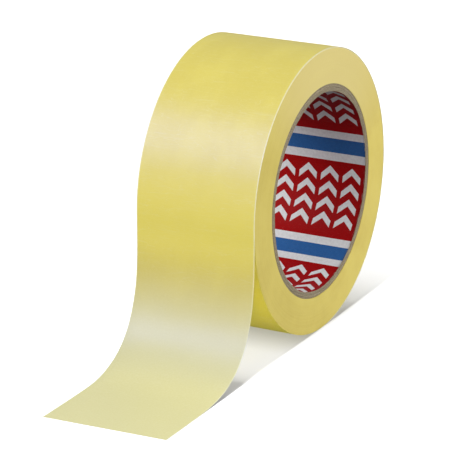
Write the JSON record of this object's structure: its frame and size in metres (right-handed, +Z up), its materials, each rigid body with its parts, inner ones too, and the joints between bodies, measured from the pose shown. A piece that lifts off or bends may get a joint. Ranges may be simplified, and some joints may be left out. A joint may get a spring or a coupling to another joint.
{
  "type": "masking tape roll",
  "caption": "Wide roll of pale yellow masking tape on a printed board core, standing on its edge, with its free end peeled off the front and lying forward on the ground.",
  "frame": {"origin": "centre of the core's bore, half way along the roll's width", "axes": "+X along the roll's axis, +Y to the back, away from the free end, +Z up; the roll stands on the ground below its axis"},
  "size_m": [0.048, 0.1738, 0.1076],
  "materials": {
    "tape_roll": "satin washi paper, yellow, many turns deep",
    "tape_single": "satin washi paper, one turn, so paler and slightly see-through, glossy adhesive underneath",
    "core_board": "grey-brown recycled board, matt",
    "core_print": "coated paper printed in red, white and blue bands, satin"
  },
  "bodies": {
    "outer_turn": {"tape_outer_turn": "tape_roll"},
    "wound_roll": {"core_liner": "core_print", "core_ply_inner": "core_board", "core_ply_middle": "core_board", "core_ply_outer": "core_board", "tape_wound": "tape_roll"},
    "tail_1": {"tape_tail_1": "tape_single"},
    "tail_2": {"tape_tail_2": "tape_single"},
    "tail_3": {"tape_tail_3": "tape_single"},
    "tail_4": {"tape_tail_4": "tape_single"},
    "tail_5": {"tape_tail_5": "tape_single"},
    "tail_6": {"tape_tail_6": "tape_single"},
    "tail_7": {"tape_tail_7": "tape_single"},
    "tail_8": {"tape_tail_8": "tape_single"}
  },
  "joints": [
    {"name": "roll_turn", "type": "hinge", "parent": "outer_turn", "child": "wound_roll", "pos_m": [0, 0, 0], "axis": [1, 0, 0], "continuous": true},
    {"name": "tail_pull", "type": "hinge", "parent": "outer_turn", "child": "tail_1", "pos_m": [0, -0.05377, 0], "axis": [-1, 0, 0], "range_deg": [0, 90]},
    {"name": "tail_bend_2", "type": "hinge", "parent": "tail_1", "child": "tail_2", "pos_m": [0, -0.05466, -0.01997], "axis": [-1, 0, 0], "range_deg": [-10.7, 0]},
    {"name": "tail_bend_3", "type": "hinge", "parent": "tail_2", "child": "tail_3", "pos_m": [0, -0.05731, -0.03165], "axis": [-1, 0, 0], "range_deg": [-16.7, 0]},
    {"name": "tail_bend_4", "type": "hinge", "parent": "tail_3", "child": "tail_4", "pos_m": [0, -0.06315, -0.04205], "axis": [-1, 0, 0], "range_deg": [-23.7, 0]},
    {"name": "tail_bend_5", "type": "hinge", "parent": "tail_4", "child": "tail_5", "pos_m": [0, -0.07259, -0.04932], "axis": [-1, 0, 0], "range_deg": [-21, 0]},
    {"name": "tail_bend_6", "type": "hinge", "parent": "tail_5", "child": "tail_6", "pos_m": [0, -0.08403, -0.05281], "axis": [-1, 0, 0], "range_deg": [-12.9, 0]},
    {"name": "tip_lift", "type": "hinge", "parent": "tail_6", "child": "tail_7", "pos_m": [0, -0.09598, -0.05372], "axis": [-1, 0, 0], "range_deg": [0, 40]},
    {"name": "tip_lift_end", "type": "hinge", "parent": "tail_7", "child": "tail_8", "pos_m": [0, -0.10698, -0.05377], "axis": [-1, 0, 0], "range_deg": [0, 40]}
  ],
  "couplings": [
    {"joint": "tail_bend_2", "follows": "tail_pull", "ratio": -0.1169},
    {"joint": "tail_bend_3", "follows": "tail_pull", "ratio": -0.1835},
    {"joint": "tail_bend_4", "follows": "tail_pull", "ratio": -0.2614},
    {"joint": "tail_bend_5", "follows": "tail_pull", "ratio": -0.2315},
    {"joint": "tail_bend_6", "follows": "tail_pull", "ratio": -0.1409},
    {"joint": "tip_lift_end", "follows": "tip_lift", "ratio": 1}
  ]
}
